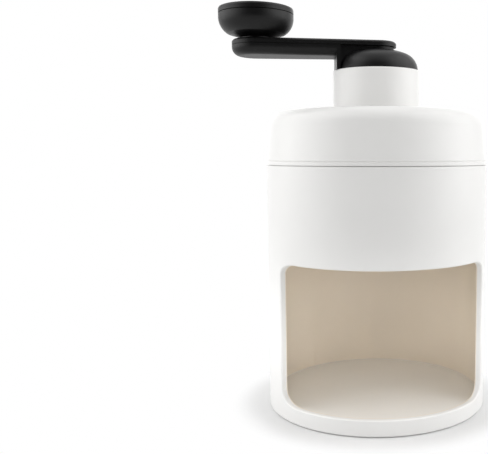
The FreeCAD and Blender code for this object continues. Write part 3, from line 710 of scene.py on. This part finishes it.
class SHAVER_OT_stage(bpy.types.Operator):
    """Lay the floor, hang the lamps and place the camera"""
    bl_idname = "shaver.stage"
    bl_label = "Stage"

    RENDER_WIDTH = 488                 # pixels, as are the next two
    FOCAL = 705.8
    AXIS_AT = 376.6                    # from the render's left edge to the housing's axis
    STAND_OFF = 375.7 * MM             # level distance from the axis
    EYE = 132.0 * MM                   # height over the floor
    AZIMUTH = radians(6.9)             # towards the crank's side from straight in front
    PITCH = radians(5.85)              # looking down
    SENSOR = 36.0                      # its width in millimetres, as the lens counts it
    NEAREST = 10 * MM                  # that the camera sees

    # Turn, climb, height aimed at and share of the power of the lamps to each side of the bay,
    # and of the one that lights its floor.
    BAY_LAMPS = (
        (56, 5, 42 * MM, 0.45),
        (44, 4, 42 * MM, 0.75),
        (32, 2, 38 * MM, 0.55),
        (20, 0, 34 * MM, 0.45),
    )
    BAY_FLOOR_LAMP = (0, 30, 13 * MM, 1.5)

    FLOOR = (0.84, 0.84, 0.84)         # colour
    FLOOR_RADII = (8.0, 0.02)          # of its edge and of the fan that closes its middle
    FLOOR_SIDES = 96
    SHADOW = (60 * MM, 78 * MM)        # distances from the axis between which the shadow fades
    CARD = (0.02, 0.02, 0.02)          # colour
    CARD_HALF_WIDTH = 0.55
    CARD_TOP = 0.95
    CARD_AWAY = 0.75                   # from the axis

    def add(self, context, name, data):
        """An object in the scene."""
        made = bpy.data.objects.new(name, data)
        context.scene.collection.objects.link(made)
        return made

    def staged(self, context, name, points, faces, material):
        """A piece of the stage, which isn't part of the shaver."""
        mesh = bpy.data.meshes.new(name)
        mesh.from_pydata(points, [], faces)
        mesh.materials.append(material)
        made = self.add(context, name, mesh)
        return made

    def camera(self, context):
        """Camera in front of the shaver and a little over its middle, looking down."""
        width = self.RENDER_WIDTH
        data = bpy.data.cameras.new("camera")
        data.sensor_width = self.SENSOR
        data.lens = self.FOCAL * self.SENSOR / width
        data.shift_x = (width / 2 - self.AXIS_AT) / width
        data.clip_start = self.NEAREST
        camera = self.add(context, "camera", data)
        camera.location = (-self.STAND_OFF * np.sin(self.AZIMUTH),
                           -self.STAND_OFF * np.cos(self.AZIMUTH), self.EYE)
        camera.rotation_euler = (radians(90) - self.PITCH, 0, -self.AZIMUTH)
        context.scene.camera = camera

    def lamp(self, context, name, energy, size, turn, climb, distance=0.9, aim=0.1, **settings):
        """Panel that faces the shaver's axis at the height aimed at.

        From there it stands at a distance, turned by degrees from the camera's side and climbing
        by degrees over the level.
        """
        data = bpy.data.lights.new(name, "AREA")
        data.energy = energy
        data.shape = "RECTANGLE"
        data.size, data.size_y = size
        for key, value in settings.items():
            setattr(data, key, value)
        lamp = self.add(context, name, data)
        bearing = radians(turn - 90) - self.AZIMUTH
        level = np.cos(radians(climb))
        outward = Vector((level * np.cos(bearing), level * np.sin(bearing), np.sin(radians(climb))))
        lamp.location = Vector((0, 0, aim)) + distance * outward
        lamp.rotation_euler = (-outward).to_track_quat("-Z", "Y").to_euler()
        lamp.visible_camera = False
        return lamp

    def bay_lamp(self, context, turn, climb, aim, share):
        """Lamp with a narrow beam in front of the serving bay, left out of reflections."""
        energy = share * context.scene.shaver_studio.bay_light
        lamp = self.lamp(context, "bay_lamp", energy, size=(0.1, 0.035), turn=turn, climb=climb,
                         distance=0.45, aim=aim, spread=radians(11))
        lamp.visible_glossy = False

    def lamps(self, context):
        """Panels beside and behind the shaver, a lamp over it, and the lamps of the bay."""
        studio = context.scene.shaver_studio
        for side, turn in (("left", -83), ("right", 83)):
            self.lamp(context, "side_panel_" + side, studio.side_light, size=(1.0, 1.2),
                      turn=turn, climb=31)
        self.lamp(context, "back_panel", studio.back_light, size=(1.2, 0.6), turn=180, climb=20)
        self.lamp(context, "top_lamp", studio.top_light, size=(0.5, 0.5), turn=165, climb=78)
        for side in (-1, 1):
            for turn, climb, aim, share in self.BAY_LAMPS:
                self.bay_lamp(context, side * turn, climb, aim, share)
        self.bay_lamp(context, *self.BAY_FLOOR_LAMP)

    def world(self, context):
        """White where it is seen, and soft even light."""
        world = bpy.data.worlds.new("studio")
        context.scene.world = world
        nodes = Nodes(world)
        room = context.scene.shaver_studio.room
        strengths = {SHARE: nodes.seen(), NUMBER_A: room, NUMBER_B: 1.0}
        strength = nodes.node("ShaderNodeMix", strengths).outputs[NUMBER_OUT]
        background = nodes.tree.nodes["Background"].inputs
        background["Color"].default_value = opaque(WHITE)
        nodes.tree.links.new(strength, background["Strength"])

    def floor(self, context):
        """A wide pale disc: it keeps the shaver's shadow, and is plain white further out."""
        material = bpy.data.materials.new("floor")
        nodes = Nodes(material)
        pale = nodes.node("ShaderNodeBsdfDiffuse", {"Color": opaque(self.FLOOR)}).outputs[0]
        white = nodes.node("ShaderNodeEmission").outputs[0]
        away = nodes.ranged(nodes.radius(), *self.SHADOW)
        share = nodes.math("MULTIPLY", nodes.seen(), away)
        both = nodes.node("ShaderNodeMixShader", {0: share, 1: pale, 2: white}).outputs[0]
        nodes.shows(both)
        disc = lathe(self.FLOOR_RADII, 0.0, self.FLOOR_SIDES)
        self.staged(context, "floor", *skin(disc, first_closed=False), material)

    def card(self, context):
        """A dark card behind the camera, only for reflections: it shapes round forms' gloss."""
        material = bpy.data.materials.new("card")
        nodes = Nodes(material)
        nodes.shows(nodes.node("ShaderNodeBsdfDiffuse", {"Color": opaque(self.CARD)}).outputs[0])
        half, away, top = self.CARD_HALF_WIDTH, self.CARD_AWAY, self.CARD_TOP
        corners = np.array([(-half, -away, 0), (half, -away, 0), (half, -away, top),
                            (-half, -away, top)])
        corners = moved(corners, Matrix.Rotation(-self.AZIMUTH, 4, "Z"))
        card = self.staged(context, "card", corners, [(3, 2, 1, 0)], material)
        card.visible_camera = card.visible_diffuse = card.visible_shadow = False

    def execute(self, context):
        context.scene.view_settings.view_transform = "Standard"
        self.camera(context)
        self.world(context)
        self.floor(context)
        self.card(context)
        self.lamps(context)
        return {"FINISHED"}


class SHAVER_PT_panel(bpy.types.Panel):
    """Lists what the shaver is finished with"""
    bl_idname = "SHAVER_PT_panel"
    bl_label = "Ice shaver"
    bl_space_type = "VIEW_3D"
    bl_region_type = "UI"
    bl_category = "Ice shaver"

    def draw(self, context):
        layout = self.layout
        for group in (context.scene.shaver_colours, context.scene.shaver_sizes,
                      context.scene.shaver_studio):
            box = layout.box()
            for key in group.bl_rna.properties.keys():
                if key not in ("rna_type", "name"):
                    box.prop(group, key)
        for operator in OPERATORS:
            layout.operator(operator.bl_idname)


GROUPS = (ShaverColours, ShaverSizes, StudioSettings)
OPERATORS = (SHAVER_OT_white_shell, SHAVER_OT_inner_plastics, SHAVER_OT_steel,
             SHAVER_OT_black_crank, SHAVER_OT_feed_spring, SHAVER_OT_screws,
             SHAVER_OT_silicone, SHAVER_OT_stage)


def register():
    for cls in (*GROUPS, *OPERATORS, SHAVER_PT_panel):
        bpy.utils.register_class(cls)
    bpy.types.Scene.shaver_colours = PointerProperty(type=ShaverColours)
    bpy.types.Scene.shaver_sizes = PointerProperty(type=ShaverSizes)
    bpy.types.Scene.shaver_studio = PointerProperty(type=StudioSettings)


def unregister():
    del bpy.types.Scene.shaver_studio
    del bpy.types.Scene.shaver_sizes
    del bpy.types.Scene.shaver_colours
    for cls in reversed((*GROUPS, *OPERATORS, SHAVER_PT_panel)):
        bpy.utils.unregister_class(cls)


def main():
    register()
    bpy.ops.shaver.white_shell()
    bpy.ops.shaver.inner_plastics()
    bpy.ops.shaver.steel()
    bpy.ops.shaver.black_crank()
    bpy.ops.shaver.feed_spring()
    bpy.ops.shaver.screws()
    bpy.ops.shaver.silicone()
    bpy.ops.shaver.stage()


if __name__ == "__main__":
    main()
